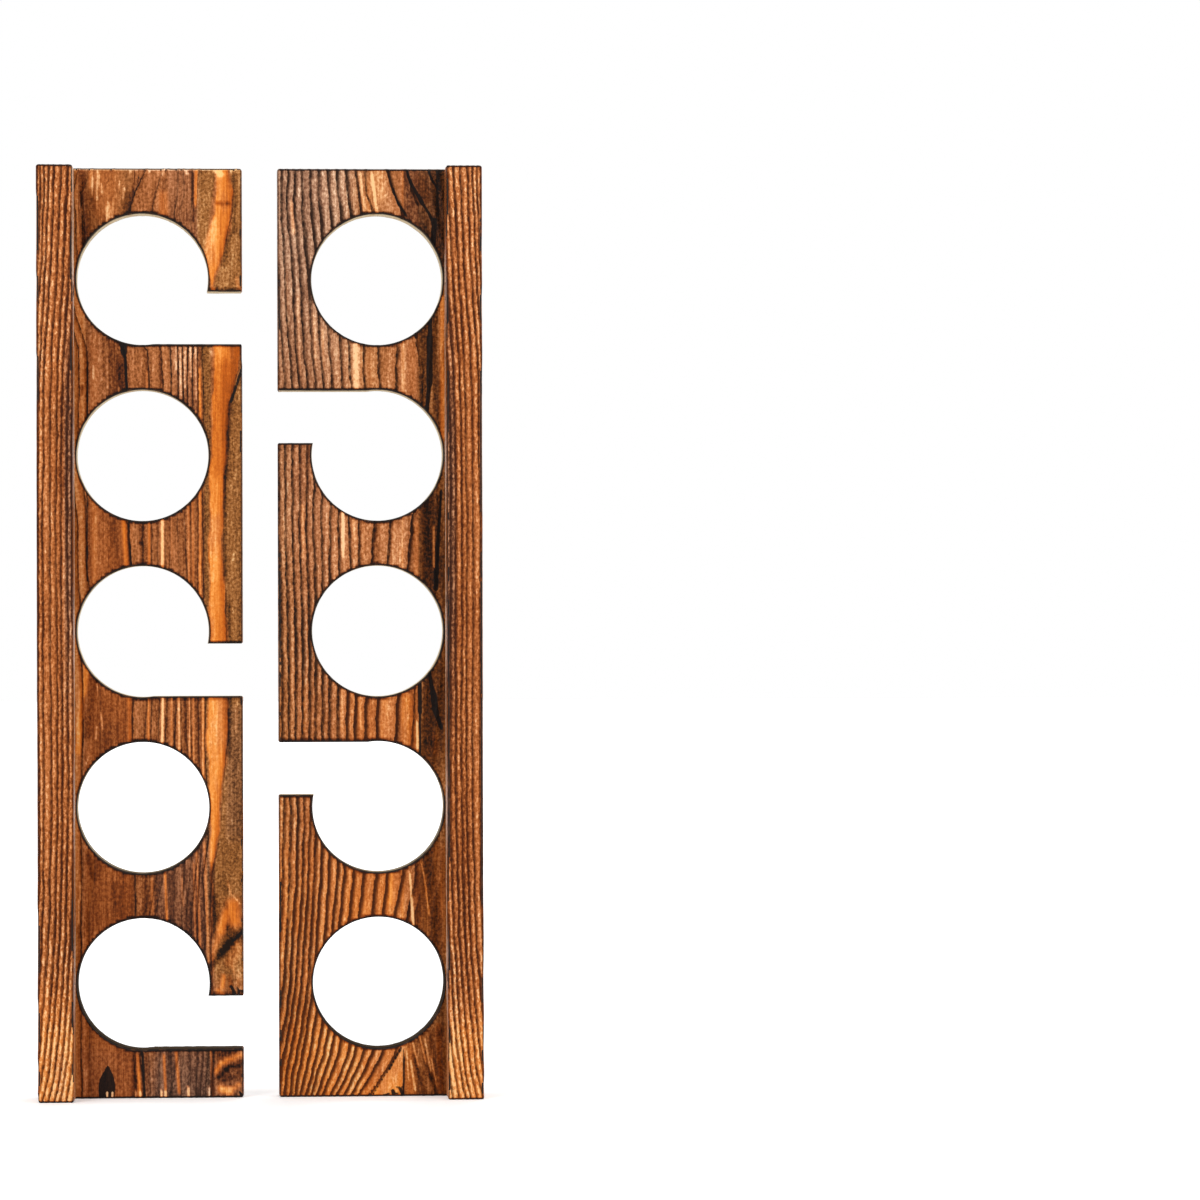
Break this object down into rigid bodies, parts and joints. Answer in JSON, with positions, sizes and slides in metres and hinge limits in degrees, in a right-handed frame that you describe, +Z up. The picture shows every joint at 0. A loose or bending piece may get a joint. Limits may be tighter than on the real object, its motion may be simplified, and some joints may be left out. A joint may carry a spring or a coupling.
{
  "type": "fishing rod wall rack",
  "caption": "Pair of wooden wall brackets with round rod holes, some open to the front as hooks, each a rod board screwed square to a narrow wall cleat.",
  "frame": {"origin": "on the ground, in the middle of the pair's bounding box, as the two brackets stand on end", "axes": "+Z up along the brackets; +X from the handle bracket to the tip bracket, so the wall faces look along -X and +X; +Y from the cleats through the rod boards"},
  "size_m": [0.214, 0.0396, 0.45],
  "materials": {
    "handle_board_wood": "torched and brushed pine, dark grain lines, satin varnish",
    "handle_cleat_wood": "torched and brushed pine, dense dark grooves, satin varnish",
    "tip_board_wood": "torched and brushed pine, close dark grain lines, satin varnish",
    "tip_cleat_wood": "torched and brushed pine, dense dark grooves, satin varnish",
    "black_screw": "black phosphated steel, satin"
  },
  "bodies": {
    "root": {"handle_rod_board": "handle_board_wood", "handle_wall_cleat": "handle_cleat_wood", "handle_joint_screw_bottom": "black_screw", "handle_joint_screw_middle": "black_screw", "handle_joint_screw_top": "black_screw", "tip_rod_board": "tip_board_wood", "tip_wall_cleat": "tip_cleat_wood", "tip_joint_screw_bottom": "black_screw", "tip_joint_screw_middle": "black_screw", "tip_joint_screw_top": "black_screw"}
  },
  "joints": []
}
